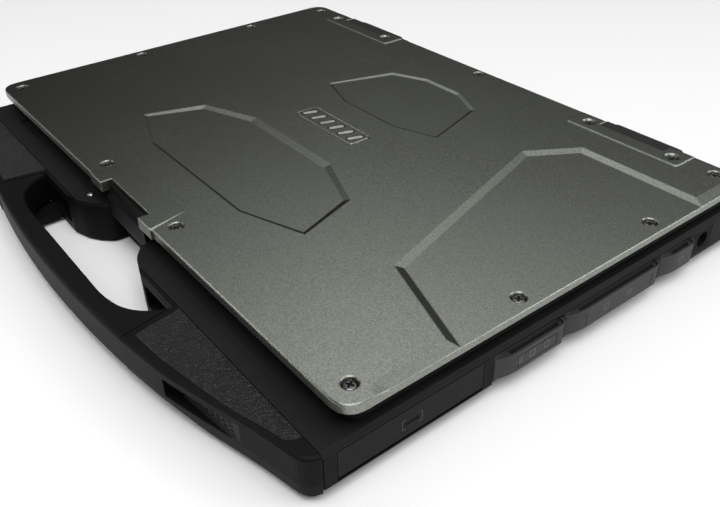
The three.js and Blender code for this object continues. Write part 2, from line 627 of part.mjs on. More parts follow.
function makeBumper(side, word) {
  const flip = (points) => points.map(([x, y, radius = 0]) => [side * x, y, radius]);
  const edge = [...BUMPER_FRONT, [170.4, -16.2, 5.2]];
  const clip = prism(outline(flip([[71.9, BUMPER_REAR], ...edge, [BASE.half, BUMPER_REAR]])), 0, 30);
  const reach = outline(flip([
    [50, 20], [50, -41.2], ...edge, [BASE.half, BUMPER_REAR], [BASE.half, 20],
  ]));
  const levels = [[0.6, 3], [3.6, 0.7], [9, 0], [21.2, 0], [22.1, 0.4], [DECK.top, 1.3]];
  const body = stack(reach, levels).intersect(clip);
  const below = outline(flip([[40, -2], [40, 6.6], [104, 6.6], [146, 0.5], [146, -2]]));
  const underside = beam(below, -60, 0);
  const plateTop = [
    [74.6, -10.4], [78.2, -31.4, 1], [97.1, -29.6], [114.4, -26.5], [127.9, -24], [139.8, -21.1],
    [150.1, -17.8], [159.3, -15.6, 2], [161.2, -10.4],
  ];
  const pocketShape = outline(flip([[73.6, -5], ...plateTop.slice(1, -1), [163.6, -5]]));
  const pocket = stack(pocketShape, [[21.1, -0.3], [25, -0.3]]);
  const hollows = [speakerRecess(side), ...soundSlots(side), behindRecess(side, SPEAKER.wall, 5, 0)];
  piece(`front_bumper_${word}`, cut(body, underside, pocket, hollows), CASE, base);
  const plate = stack(outline(flip(plateTop)), [[21.3, 0], [DECK.top - 0.1, 0]]);
  piece(`bumper_plate_${word}`, plate, TEXTURED, base);
}

// The fine screen behind the slots keeps dust out of the speaker.
function makeSpeakerGrille(side, word) {
  const near = SPEAKER.wall + GAP;
  piece(`speaker_grille_${word}`, behindRecess(side, near, near + 0.8, GAP), DARK_STEEL, base);
}

function makeHandle() {
  const outer = [[95, 5], [95, -33.6], [76.1, -36.5, 9], [52, -38.9, 12], [26, -40.4, 12]];
  const inner = [[46, -30.4, 7], [60, -27.2, 6.5], [67.6, -19.8, 4], [71.4, -12.4, 4], [74.5, 5]];
  const ring = [[0, -41, 12], ...mirrored([...outer.toReversed(), ...inner.toReversed()])];
  const levels = [[HANDLE.bottom, 2], [6.5, 0.3], [20.6, 0], [21.8, 0.5], [HANDLE.top, 1.5]];
  const bow = stack(outline(ring), levels);
  const shelves = [1, -1].map((side) => sideBox(side, 57, 80, -29, -12.3, 2.6, 5));
  const clip = prism(outline([[-71.5, -12.3], [71.5, -12.3], [77.05, -45], [-77.05, -45]]), 0, 30);
  piece('carry_handle', joined([bow, ...shelves]).intersect(clip), CASE, base);
}

function makeCatch() {
  const shape = outline([[5.3, 14], [6.7, 14], [6.7, 20], [5.9, 20], [5.3, 18.8]]);
  piece('latch_catch', bar(shape, -10, 10), STEEL, base);
}

// ---------------------------------------------------------------- side covers, sockets and modules
function coverGroove({ side, front, rear, top, groove }) {
  const width = 0.6;
  const [y0, y1] = [front + COVER.ramp + 3, rear - 4.5];
  const [z0, z1] = [COVER.low + 2, top - 2];
  const channel = (...span) => sideBox(side, COVER.face - 0.4, 180, ...span);
  const ends = [channel(y0, y0 + width, z0, z1), channel(y1 - width, y1, z0, z1)];
  const rails = [channel(y0, y1, z0, z0 + width), channel(y0, y1, z1 - width, z1)];
  return { frame: ends.concat(rails), ends, none: [] }[groove];
}

// Each cover's face ramps up from its front end. A hollow behind its top edge takes a fingernail.
function makePortCover(cover) {
  const { name, side, front, rear, top } = cover;
  const { back, face, low, rim, plug, ramp, lip, shelf } = COVER;
  const door = stack(outline([
    [side * back, front], [side * back, rear], [side * face, rear, 1.6],
    [side * face, front + ramp, 5], [side * (back + 1.3), front, 0.5],
  ]), [[low, 0.3], [low + 0.6, 0], [rim - 0.5, 0], [rim, 0.35]], 6);
  const aboveFace = bar(outline([
    [front - 1, top], [rear - 1.4, top, 1.2], [rear - 1.4, 30], [front - 1, 30],
  ]), side * shelf, side * 180);
  const nailHollow = sideBox(side, shelf, face - lip, front + ramp, rear - 2.6, top - 3, 30);
  const flange = sideBox(side, plug, back + 0.5, front + 3.5, rear - 3.5, 9.4, Math.min(15.8, top - 2));
  const body = cut(door, aboveFace, nailHollow, coverGroove(cover)).add(flange);
  piece(name, body, RUBBER, base);
}

function makeSockets(name, side, front, rear, sockets) {
  const board = sideBox(side, 150, 166, front, rear, 6.8, 8.2);
  const middle = 12.6;
  const shells = sockets.map((socket) => sideBox(
    side, 152, 167.8, socket.front - 0.9, socket.rear + 0.9, 8, middle + socket.height / 2 + 0.9,
  ));
  const mouths = sockets.map((socket) => sideBox(
    side, 154, 170, socket.front, socket.rear, middle - socket.height / 2, middle + socket.height / 2,
  ));
  const posts = [front + 4, rear - 4].map((y) => upright(side * 153, y, 2, FLOOR + 0.2, 7, 10));
  piece(name, cut(joined([board, ...shells, ...posts]), mouths), STEEL, base);
}

function makeJack() {
  const { y, z, body, hole, front, rear, low, high } = JACK;
  const barrel = across(156, 171, y, z, body, 32).add(box(154, 168, y - 5, y + 5, 7.5, z));
  const plate = box(169.9, BASE.half, front, rear, low, high);
  piece('dc_jack', cut(barrel.add(plate), across(160, 175, y, z, hole, 32)), RUBBER, base);
}

function makeBattery() {
  const { front, rear, inner, bottom, top } = BATTERY;
  const pack = box(inner, 170, front + 1, rear - 1, bottom, top);
  const panel = sideBox(1, 169.4, BASE.half, front, rear, bottom, PANEL_TOP);
  const skirt = beam(outline([
    [BASE.half, bottom + 1], [BASE.half - 1.5, bottom - 1], [180, bottom - 1], [180, bottom + 1],
  ]), -30, 90);
  const mark = box(BASE.half - 0.4, 180, 25, 31, 12.5, 14.5);
  piece('battery_pack', cut(pack.add(panel), skirt, mark), CASE, base);
  const slider = box(119, 137, 73, 82, 1.2, 2);
  const ridges = Array.from({ length: 4 }, (_, i) => box(121, 135, 74 + i * 2, 75 + i * 2, 0.6, 1.5));
  piece('battery_latch', joined([slider, ...ridges]), RUBBER, base);
}

function makeMediaModule() {
  const { front, rear, inner, bottom, top } = MEDIA;
  const body = box(-170, -inner, front + 1, rear - 1, bottom, top);
  const panel = box(-BASE.half, -169.4, front, rear, bottom, PANEL_TOP);
  const slot = box(-180, -BASE.half + 0.6, front + 6, rear - 30, 15, 15.8);
  piece('media_module', cut(body.add(panel), slot), DARK_STEEL, base);
}

function makeVent() {
  const frame = box(-171.8, -169.8, VENT.front, VENT.rear, VENT.low, VENT.high);
  const slots = Array.from({ length: 12 }, (_, i) => {
    const y = VENT.front + 2 + i * 4.2;
    return box(-180, -160, y, y + 2.8, VENT.low + 1.4, VENT.high - 1.4);
  });
  piece('vent_grille', cut(frame, slots), CASE, base);
}

// ---------------------------------------------------------------- inside the base
function makeMotherboard() {
  const board = prism(outline([
    [-98, 146], [-40, 146], [-40, 14], [66, 14], [66, 72], [145, 72], [145, 228], [-98, 228],
  ]), 8, 9.6);
  const chips = [
    box(-34, -6, 175, 203, 9, 12), box(10, 78, 96, 126, 9, 13), box(-20, 40, 30, 60, 9, 12),
    box(90, 120, 150, 180, 9, 11.5), box(40, 62, 190, 212, 9, 11.5),
  ];
  const posts = [[-34, 20], [60, 20], [-90, 222], [138, 78], [138, 222]]
    .map(([x, y]) => upright(x, y, 2.5, FLOOR + 0.2, 8.5, 10));
  piece('motherboard', joined([board, ...chips, ...posts]), BOARD, base);
}

function makeStorageDrive() {
  const card = box(95, 117, 80, 140, 10, 10.8);
  const chips = [
    box(97, 115, 84, 102, 10.5, 12.2), box(97, 115, 106, 124, 10.5, 12.2),
    box(99, 111, 128, 136, 10.5, 11.8),
  ];
  piece('storage_drive', joined([card, ...chips]), BOARD, base);
}

function makeCooling() {
  const pipe = [
    box(-36, -4, 163.5, 205, 12.3, 14.3), box(-166, -4, 163.5, 171.5, 12.6, 15.6),
    box(-166, -156, 163.5, 234, 12.6, 15.6),
  ];
  const fins = Array.from({ length: 18 }, (_, i) => box(-166, -156, 182 + i * 3, 183 + i * 3, 8.2, 13));
  piece('heat_pipe', joined([...pipe, ...fins]), COPPER, base);

  const { x, y, half, length, low, high } = FAN;
  const shell = box(x - half, x + half, y - length, y + length, low, high);
  const inside = box(x - half - 5, x + half - 1, y - length + 1, y + length - 1, low + 1.2, high - 1.2);
  const intake = upright(x, y, 17, high - 2, high + 1, 32);
  const axle = upright(x, y, 1.5, low + 1, 11, 12);
  const legs = [[-22, -28], [22, -28], [-22, 28], [22, 28]]
    .map(([dx, dy]) => upright(x + dx, y + dy, 2, FLOOR + 0.2, low + 0.5, 10));
  piece('fan_housing', joined([cut(shell, inside, intake), axle, ...legs]), CASE, base);

  const hub = upright(x, y, 9, 9, 16, 28);
  const blades = Array.from({ length: 11 }, (_, i) => {
    const blade = new THREE.BoxGeometry(15, 1, 5.4).rotateZ(0.5).translate(14.6, 3, 12.6);
    return solid(blade.rotateZ((i / 11) * Math.PI * 2).translate(x, y, 0));
  });
  piece('fan_rotor', cut(joined([hub, ...blades]), upright(x, y, 1.8, 8, 11.5, 12)), DARK_STEEL, base);
}

// ---------------------------------------------------------------- assembly
makeBottomCase();
makeTopCover();
makeFeet();
makeControls();
makeKeyboard();
makeMotherboard();
makeStorageDrive();
makeCooling();
makeVent();
makeBattery();
makeMediaModule();
PORT_COVERS.forEach(makePortCover);
makeSockets('right_sockets', 1, 74, 193, RIGHT_SOCKETS);
makeSockets('left_sockets', -1, 144, 162, LEFT_SOCKETS);
makeJack();
makeCatch();
makeHandle();
[[1, 'right'], [-1, 'left']].forEach(([side, word]) => {
  makeBumper(side, word);
  makeSpeakerGrille(side, word);
  makeHinge(side, word);
});
makeLidCover();
LID_SCREWS.forEach(makeLidScrew);
makeBezel();
makeScreen();
makeLatch();

export default group;
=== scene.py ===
import json
import math

import bmesh
import bpy
from mathutils import Matrix, Vector


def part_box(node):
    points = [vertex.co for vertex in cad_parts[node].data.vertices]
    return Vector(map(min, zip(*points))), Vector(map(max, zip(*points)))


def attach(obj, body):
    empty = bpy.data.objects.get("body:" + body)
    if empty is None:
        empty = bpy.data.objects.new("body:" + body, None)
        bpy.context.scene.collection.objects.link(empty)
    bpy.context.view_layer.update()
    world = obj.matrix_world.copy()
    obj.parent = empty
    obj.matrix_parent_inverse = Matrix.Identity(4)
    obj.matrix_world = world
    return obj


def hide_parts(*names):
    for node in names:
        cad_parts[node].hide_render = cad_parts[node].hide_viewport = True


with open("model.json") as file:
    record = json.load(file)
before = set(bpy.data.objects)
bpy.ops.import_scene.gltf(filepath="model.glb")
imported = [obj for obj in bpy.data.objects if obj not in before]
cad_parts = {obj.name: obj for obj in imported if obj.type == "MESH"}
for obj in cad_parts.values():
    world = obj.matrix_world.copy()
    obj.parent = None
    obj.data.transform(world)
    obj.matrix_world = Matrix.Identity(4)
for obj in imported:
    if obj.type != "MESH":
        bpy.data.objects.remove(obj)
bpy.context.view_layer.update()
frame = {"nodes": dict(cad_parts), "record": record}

MM = 0.001
nodes = frame["nodes"]
body_of = {node: body for body, members in frame["record"]["behaviour"]["bodies"].items() for node in members}
slot_of = {part["node"]: part["material_slot"] for part in frame["record"]["subparts"]}


# ---------------------------------------------------------------- materials
def new_material(name, color, roughness, metallic=0.0):
    """A material with one Principled shader, and the tools to wire textures into it."""
    material = bpy.data.materials.new(name)
    material.use_nodes = True
    shader = material.node_tree.nodes["Principled BSDF"]
    shader.inputs["Base Color"].default_value = (*color, 1)
    shader.inputs["Roughness"].default_value = roughness
    shader.inputs["Metallic"].default_value = metallic
    material.diffuse_color = (*color, 1)
    return material, shader


def add(material, kind, **values):
    """A new node, its sockets and settings filled in by name."""
    node = material.node_tree.nodes.new(kind)
    for key, value in values.items():
        if key in node.inputs:
            node.inputs[key].default_value = value
        else:
            setattr(node, key, value)
    return node


def wire(material, out, into):
    material.node_tree.links.new(out, into)


def place(material):
    """Points of the piece in the row frame."""
    return add(material, "ShaderNodeTexCoord").outputs["Object"]


def noise(material, scale, detail=2.0, roughness=0.5):
    node = add(material, "ShaderNodeTexNoise", Scale=scale, Detail=detail, Roughness=roughness)
    wire(material, place(material), node.inputs["Vector"])
    return node.outputs["Fac"]


def remap(material, value, low, high, to_low, to_high):
    node = add(material, "ShaderNodeMapRange")
    for key, number in zip(("From Min", "From Max", "To Min", "To Max"), (low, high, to_low, to_high)):
        node.inputs[key].default_value = number
    wire(material, value, node.inputs["Value"])
    return node.outputs["Result"]


def shades(material, value, dark, light, low=0.35, high=0.65):
    node = add(material, "ShaderNodeValToRGB")
    ramp = node.color_ramp.elements
    ramp[0].position, ramp[1].position = low, high
    ramp[0].color, ramp[1].color = (*dark, 1), (*light, 1)
    wire(material, value, node.inputs["Fac"])
    return node.outputs["Color"]


def bump(material, shader, height, distance, strength=1.0, under=None):
    node = add(material, "ShaderNodeBump", Strength=strength, Distance=distance)
    wire(material, height, node.inputs["Height"])
    if under is not None:
        wire(material, under, node.inputs["Normal"])
    wire(material, node.outputs["Normal"], shader.inputs["Normal"])
    return node.outputs["Normal"]


def scaled(color, factor):
    return tuple(channel * factor for channel in color)


def edge_rounding_and_highlight(material, radius, gain):
    """The shading normal rounded at edges, and a painted highlight: a factor that grows from 1 to the gain on
    them, for brightening the colour there.
    """
    soft = add(material, "ShaderNodeBevel", Radius=radius)
    flat = add(material, "ShaderNodeNewGeometry")
    agree = add(material, "ShaderNodeVectorMath", operation="DOT_PRODUCT")
    wire(material, soft.outputs["Normal"], agree.inputs[0])
    wire(material, flat.outputs["Normal"], agree.inputs[1])
    return soft.outputs["Normal"], remap(material, agree.outputs["Value"], 0.86, 0.99, gain, 1.0)


def brightened(material, color, factor):
    shade = add(material, "ShaderNodeVectorMath", operation="SCALE")
    wire(material, color, shade.inputs[0])
    wire(material, factor, shade.inputs["Scale"])
    return shade.outputs["Vector"]


def paint_material():
    """Olive-grey satin paint with fine metal flakes, brightened on its edges by a painted highlight, rougher
    on the walls.
    """
    color = (0.255, 0.269, 0.237)
    material, shader = new_material("lid_paint", color, 0.27, 1.0)
    rounding, painted_edge_highlight = edge_rounding_and_highlight(material, 0.85 * MM, 1.75)
    flakes = noise(material, 1700, 3.0, 0.65)
    speckle = shades(material, flakes, scaled(color, 0.78), scaled(color, 1.25), 0.38, 0.62)
    wire(material, brightened(material, speckle, painted_edge_highlight), shader.inputs["Base Color"])
    facing = add(material, "ShaderNodeSeparateXYZ")
    wire(material, add(material, "ShaderNodeTexCoord").outputs["Normal"], facing.inputs["Vector"])
    smooth = remap(material, facing.outputs["Z"], 0.2, 0.7, 0.42, 0.27)
    uneven = remap(material, noise(material, 14, 3.0), 0.3, 0.7, -0.008, 0.012)
    total = add(material, "ShaderNodeMath", operation="ADD")
    wire(material, smooth, total.inputs[0])
    wire(material, uneven, total.inputs[1])
    wire(material, total.outputs["Value"], shader.inputs["Roughness"])
    bump(material, shader, flakes, 0.00002, 0.6, rounding)
    return material


MOULDED_EDGE = 0.35 * MM  # how far in from an edge moulded plastic is rounded in its shading and made paler by a painted highlight
MOULDED_EDGE_HIGHLIGHT = 2.6  # how much paler the painted highlight makes it on the edge itself


def moulded_material(name, color, roughness, grain, depth, gloss=0.12):
    """Moulded plastic or rubber with a spark-eroded grain, slight unevenness and edges made paler by a
    painted highlight.
    """
    material, shader = new_material(name, color, roughness)
    shader.inputs["Specular IOR Level"].default_value = gloss
    fine = noise(material, grain, 3.0, 0.6)
    tone = noise(material, 22, 4.0, 0.6)
    mottled = shades(material, tone, scaled(color, 0.86), scaled(color, 1.14))
    rounding, painted_edge_highlight = edge_rounding_and_highlight(material, MOULDED_EDGE, MOULDED_EDGE_HIGHLIGHT)
    wire(material, brightened(material, mottled, painted_edge_highlight), shader.inputs["Base Color"])
    varied = remap(material, fine, 0.3, 0.7, roughness - 0.06, roughness + 0.08)
    wire(material, varied, shader.inputs["Roughness"])
    bump(material, shader, fine, depth, 0.7, rounding)
    return material


def leather_grain_material():
    """Plastic moulded with a pebbled, leather-like grain."""
    color = (0.0085, 0.009, 0.0088)
    material, shader = new_material("pebbled_plastic", color, 0.45)
    shader.inputs["Specular IOR Level"].default_value = 0.42
    cells = add(material, "ShaderNodeTexVoronoi", Scale=1150.0, feature="DISTANCE_TO_EDGE")
    wire(material, place(material), cells.inputs["Vector"])
    pebbles = remap(material, cells.outputs["Distance"], 0.0, 0.35, 0.0, 1.0)
    tone = noise(material, 30, 4.0, 0.6)
    mottled = shades(material, tone, scaled(color, 0.85), scaled(color, 1.25))
    # A painted highlight makes the edges paler.
    rounding, painted_edge_highlight = edge_rounding_and_highlight(material, 0.4 * MM, 5.0)
    wire(material, brightened(material, mottled, painted_edge_highlight), shader.inputs["Base Color"])
    under = bump(material, shader, noise(material, 2600, 2.0), 0.00003, 0.5, rounding)
    bump(material, shader, pebbles, 0.0003, 1.0, under)
    return material


CASE_BLACK = (0.0056, 0.006, 0.0058)
SLOT_WALL_PAINTED_LIGHT = 4.5  # how much painted light brightens the wall with the sound slots, which lies in shade in its recess


def slot_wall_light_mask(material, end):
    """1 on the wall with the sound slots, at the bottom of its recess in the bumper, where painted light
    goes, and 0 elsewhere.
    """
    low, high = (Vector(corner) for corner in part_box(f"speaker_grille_{end}"))
    middle, size = (low + high) / 2, high - low
    lean = math.atan2(size.y - 0.8 * MM, size.x)
    turn = add(material, "ShaderNodeVectorRotate", rotation_type="Z_AXIS", Center=middle)
    turn.inputs["Angle"].default_value = -lean if end == "right" else lean
    wire(material, place(material), turn.inputs["Vector"])
    source = turn.outputs["Vector"]
    reach = (size.x / 2 + 1 * MM, 2.8 * MM, size.z / 2 + 1 * MM)
    for operation, operand in (("SUBTRACT", middle), ("ABSOLUTE", None), ("DIVIDE", reach)):
        step = add(material, "ShaderNodeVectorMath", operation=operation)
        wire(material, source, step.inputs[0])
        if operand is not None:
            step.inputs[1].default_value = operand
        source = step.outputs["Vector"]
    parts = add(material, "ShaderNodeSeparateXYZ")
    wire(material, source, parts.inputs["Vector"])
    farthest = parts.outputs["X"]
    for axis in "YZ":
        larger = add(material, "ShaderNodeMath", operation="MAXIMUM")
        wire(material, farthest, larger.inputs[0])
        wire(material, parts.outputs[axis], larger.inputs[1])
        farthest = larger.outputs["Value"]
    return remap(material, farthest, 0.95, 1.0, 1.0, 0.0)


def bumper_material(end):
    """The case's plastic, with painted light on the wall with the sound slots, which is lost in shadow
    otherwise.
    """
    color = CASE_BLACK
    material, shader = new_material(f"bumper_plastic_{end}", color, 0.5)
    shader.inputs["Specular IOR Level"].default_value = 0.07
    tone = shades(material, noise(material, 22, 4.0, 0.6), scaled(color, 0.86), scaled(color, 1.14))
    # A painted highlight makes the edges paler.
    rounding, painted_edge_highlight = edge_rounding_and_highlight(material, MOULDED_EDGE, MOULDED_EDGE_HIGHLIGHT)
    # Painted light: the shaded wall with the sound slots is made paler.
    slot_wall_painted_light = remap(material, slot_wall_light_mask(material, end), 0.0, 1.0, 1.0, SLOT_WALL_PAINTED_LIGHT)
    wire(material, brightened(material, brightened(material, tone, painted_edge_highlight), slot_wall_painted_light), shader.inputs["Base Color"])
    bump(material, shader, noise(material, 1300, 3.0, 0.6), 0.0001, 0.7, rounding)
    return material


def metal_material(name, color, roughness):
    """Bare metal with a fine unevenness in its colour and its polish."""
    material, shader = new_material(name, color, roughness, 1.0)
    streaks = noise(material, 900, 2.0)
    brushed = shades(material, streaks, scaled(color, 0.88), scaled(color, 1.08))
    wire(material, brushed, shader.inputs["Base Color"])
    varied = remap(material, streaks, 0.3, 0.7, roughness - 0.05, roughness + 0.08)
    wire(material, varied, shader.inputs["Roughness"])
    return material


def glass_face_material():
    color = (0.006, 0.006, 0.007)
    material, shader = new_material("screen_face", color, 0.12)
    smears = noise(material, 9, 5.0, 0.6)
    wire(material, remap(material, smears, 0.35, 0.7, 0.1, 0.2), shader.inputs["Roughness"])
    wire(material, shades(material, smears, color, scaled(color, 1.5)), shader.inputs["Base Color"])
    return material


def board_material():
    color = (0.012, 0.07, 0.03)
    material, shader = new_material("circuit_board", color, 0.45)
    grid = add(material, "ShaderNodeTexBrick", Scale=160.0)
    wire(material, place(material), grid.inputs["Vector"])
    spots = shades(material, noise(material, 260, 2.0), scaled(color, 0.8), scaled(color, 1.4))
    wire(material, spots, grid.inputs["Color1"])
    grid.inputs["Color2"].default_value = (*scaled(color, 1.1), 1)
    grid.inputs["Mortar"].default_value = (0.03, 0.12, 0.05, 1)
    wire(material, grid.outputs["Color"], shader.inputs["Base Color"])
    return material


CASE = moulded_material("case_plastic", CASE_BLACK, 0.5, 1300, 0.0001, 0.07)
DECK_PLASTIC = moulded_material("deck_plastic", (0.0115, 0.012, 0.0117), 0.5, 1300, 0.0001, 0.1)
PANEL_PLASTIC = moulded_material("panel_plastic", (0.0075, 0.008, 0.0078), 0.5, 1300, 0.0001, 0.1)
PEBBLED = leather_grain_material()
RUBBER = moulded_material("rubber", (0.007, 0.0072, 0.0072), 0.66, 1300, 0.00005, 0.08)
COVER_RUBBER = moulded_material("cover_rubber", (0.027, 0.0285, 0.029), 0.5, 1400, 0.00008, 0.3)
MARK_INK = moulded_material("mark_grey", (0.085, 0.088, 0.09), 0.5, 1400, 0.00002, 0.3)
PAINT = paint_material()
LOOKS = {
    "lid_paint": PAINT,
    "plate_metal": metal_material("plate_metal", (0.85, 0.86, 0.86), 0.36),
    "case_plastic": CASE,
    "textured_plastic": PEBBLED,
    "rubber": RUBBER,
    "screen_face": glass_face_material(),
    "hinge_metal": moulded_material("hinge_metal", (0.012, 0.0125, 0.0128), 0.4, 1600, 0.00003, 0.35),
    "dark_metal": metal_material("dark_metal", (0.16, 0.16, 0.157), 0.24),
    "socket_metal": metal_material("socket_metal", (0.5, 0.5, 0.5), 0.3),
    "module_shell": moulded_material("module_shell", (0.01, 0.0105, 0.0105), 0.48, 1500, 0.00005),
    "circuit_board": board_material(),
    "copper": metal_material("copper", (0.55, 0.27, 0.16), 0.32),
}


# ---------------------------------------------------------------- finish of the CAD pieces
def rounded(obj, width, segments):
    """Flat faces made whole, sharp edges rounded."""
    flat = obj.modifiers.new("flat_faces", "DECIMATE")
    flat.decimate_type = "DISSOLVE"
    flat.angle_limit = math.radians(0.5)
    edge = obj.modifiers.new("edge", "BEVEL")
    edge.width = width
    edge.segments = segments
    edge.limit_method = "ANGLE"
    edge.angle_limit = math.radians(28)
    obj.data.shade_smooth()
    normals = obj.modifiers.new("normals", "WEIGHTED_NORMAL")
    normals.keep_sharp = True


def dress(node, look, width, segments=2):
    """Gives a CAD piece its material and rounds its sharp edges."""
    obj = nodes[node]
    obj.data.materials.clear()
    obj.data.materials.append(look)
    rounded(obj, width, segments)


EDGE = 0.25 * MM  # rounding of most moulded edges
SOFT_EDGES = {
    "lid_cover": 0.2 * MM, "carry_handle": 0.7 * MM, "bumper_plate_left": 0.3 * MM,
    "bumper_plate_right": 0.3 * MM, "front_bumper_left": 0.45 * MM, "front_bumper_right": 0.45 * MM,
    "lid_latch": 0.4 * MM, "hinge_knuckle_left": 0.5 * MM, "hinge_knuckle_right": 0.5 * MM,
}
SPECIAL_LOOKS = {"nameplate": PAINT, "base_top_cover": DECK_PLASTIC, "battery_pack": PANEL_PLASTIC}
SPECIAL_LOOKS.update((f"front_bumper_{end}", bumper_material(end)) for end in ("left", "right"))
SPECIAL_LOOKS.update((name, COVER_RUBBER) for name in nodes if name.startswith("port_cover"))
for name in nodes:
    look = SPECIAL_LOOKS.get(name, LOOKS[slot_of[name]])
    dress(name, look, SOFT_EDGES.get(name, EDGE), 3 if name in SOFT_EDGES else 2)


# ---------------------------------------------------------------- mesh tools
def piece(name, mesh_maker, slot, body, look=None):
    """A new object from a bmesh function, with its finish, riding on a body."""
    mesh = bpy.data.meshes.new(name)
    made = bmesh.new()
    mesh_maker(made)
    bmesh.ops.recalc_face_normals(made, faces=made.faces)
    made.to_mesh(mesh)
    made.free()
    obj = bpy.data.objects.new(name, mesh)
    bpy.context.scene.collection.objects.link(obj)
    mesh.materials.append(look or LOOKS[slot])
    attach(obj, body)
    return obj


def turned(made, profile, segments, place_at=(0, 0, 0), tilt=None):
    """A solid of revolution: (radius, height) points from the bottom's middle to the top's middle."""
    rings = []
    for radius, height in profile:
        if radius == 0:
            rings.append([made.verts.new((0, 0, height))])
            continue
        angles = (2 * math.pi * i / segments for i in range(segments))
        rings.append([made.verts.new((radius * math.cos(a), radius * math.sin(a), height)) for a in angles])
    for lower, upper in zip(rings, rings[1:]):
        for i in range(segments):
            j = (i + 1) % segments
            if len(lower) == 1:
                made.faces.new((lower[0], upper[j], upper[i]))
            elif len(upper) == 1:
                made.faces.new((lower[i], lower[j], upper[0]))
            else:
                made.faces.new((lower[i], lower[j], upper[j], upper[i]))
    verts = [vert for ring in rings for vert in ring]
    bmesh.ops.transform(made, matrix=Matrix.Translation(place_at) @ (tilt or Matrix()), verts=verts)


def slab(made, corners, low, high, axes):
    """An outline drawn in two directions and raised along the third, as 'yzx' or 'xyz' says."""
    order = ["xyz".index(letter) for letter in axes]

    def vert(across, along, up):
        point = [0, 0, 0]
        for index, value in zip(order, (across, along, up)):
            point[index] = value
        return made.verts.new(point)

    bottom = [vert(a, b, low) for a, b in corners]
    top = [vert(a, b, high) for a, b in corners]
    made.faces.new(bottom)
    made.faces.new(top)
    for i in range(len(corners)):
        j = (i + 1) % len(corners)
        made.faces.new((bottom[i], bottom[j], top[j], top[i]))


def bar_outline(middle, length, width, angle=0.0, steps=5):
    """A straight stroke with round ends."""
    points = []
    for end in (1, -1):
        for step in range(steps + 1):
            turn = math.pi * (step / steps - 0.5) + (0 if end > 0 else math.pi)
            along = end * (length - width) / 2 + width / 2 * math.cos(turn)
            points.append((along, width / 2 * math.sin(turn)))
    c, s = math.cos(angle), math.sin(angle)
    return [(middle[0] + x * c - y * s, middle[1] + x * s + y * c) for x, y in points]


def ring_strokes(middle, radius, width, count=16):
    """A ring, drawn as short strokes end to end."""
    strokes = []
    for i in range(count):
        angle = 2 * math.pi * i / count
        at = (middle[0] + radius * math.cos(angle), middle[1] + radius * math.sin(angle))
        length = 2 * math.pi * radius / count + width * 0.6
        strokes.append(bar_outline(at, length, width, angle + math.pi / 2, 2))
    return strokes


# ---------------------------------------------------------------- lid screws
HEAD_THICK = 0.8 * MM
SHANK_RADIUS = 1.2 * MM
TURN_PER_METRE = 40  # how the crosses' turn changes along the lid, so that they aren't all alike


def head_profile(radius, bottom, top):
    """Half of a screw, drawn as (radius, height): a shank under a low domed head."""
    seat = top - HEAD_THICK
    return [
        (0, bottom), (SHANK_RADIUS, bottom), (SHANK_RADIUS, seat), (radius - 0.1 * MM, seat),
        (radius, seat + 0.1 * MM), (radius, seat + 0.35 * MM), (radius * 0.95, seat + 0.5 * MM),
        (radius * 0.8, top - 0.12 * MM), (radius * 0.55, top - 0.03 * MM), (0, top),
    ]


def crossed_bars(made, middle, low_z, high_z, length, width):
    turn = math.radians(20) + middle[0] * TURN_PER_METRE
    for quarter in range(2):
        corners = bar_outline(middle, length, width, turn + quarter * math.pi / 2, 3)
        slab(made, corners, low_z - quarter * 0.02 * MM, high_z + quarter * 0.02 * MM, "xyz")


def carve_cross(head, middle, top):
    """Cuts the cross recess into a screw's head."""
    mesh = bpy.data.meshes.new("cross")
    made = bmesh.new()
    crossed_bars(made, middle, top - 0.6 * MM, top + 1 * MM, 3.6 * MM, 1.05 * MM)
    bmesh.ops.recalc_face_normals(made, faces=made.faces)
    made.to_mesh(mesh)
    made.free()
    cutter = bpy.data.objects.new("cross", mesh)
    bpy.context.scene.collection.objects.link(cutter)
    recess = head.modifiers.new("recess", "BOOLEAN")
    recess.operation = "DIFFERENCE"
    recess.solver = "EXACT"
    recess.use_self = True
    recess.object = cutter
    graph = bpy.context.evaluated_depsgraph_get()
    carved = bpy.data.meshes.new_from_object(head.evaluated_get(graph))
    head.modifiers.remove(recess)
    head.data = carved
    bpy.data.objects.remove(cutter)


def make_screw(node):
    """A machine screw, with painted shade: a black ring in the gap round its head and a dark fill in the
    bottom of its cross recess.
    """
    low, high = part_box(node)
    middle = ((low[0] + high[0]) / 2, (low[1] + high[1]) / 2)
    centre = (*middle, 0)
    top = high[2]
    seat = top - HEAD_THICK
    profile = head_profile((high[0] - low[0]) / 2, low[2], top)
    head = piece(f"{node}_head", lambda made: turned(made, profile, 40, centre), "dark_metal", "lid")
    carve_cross(head, middle, top)
    head.data.shade_smooth()
    rounded(head, 0.08 * MM, 2)
    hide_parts(node)
    # Painted shade: a black ring standing in for the shade in the gap round the head.
    washer = [
        (2.2 * MM, seat), (3.05 * MM, seat), (3.05 * MM, seat + 0.15 * MM), (2.2 * MM, seat + 0.15 * MM),
        (2.2 * MM, seat),
    ]

    def shade_pieces(made):
        turned(made, washer, 40, centre)
        # Painted shade in the bottom of the cross recess.
        crossed_bars(made, middle, top - 0.58 * MM, top - 0.32 * MM, 3.5 * MM, 0.95 * MM)

    piece(f"{node}_painted_shade", shade_pieces, "rubber", "lid")


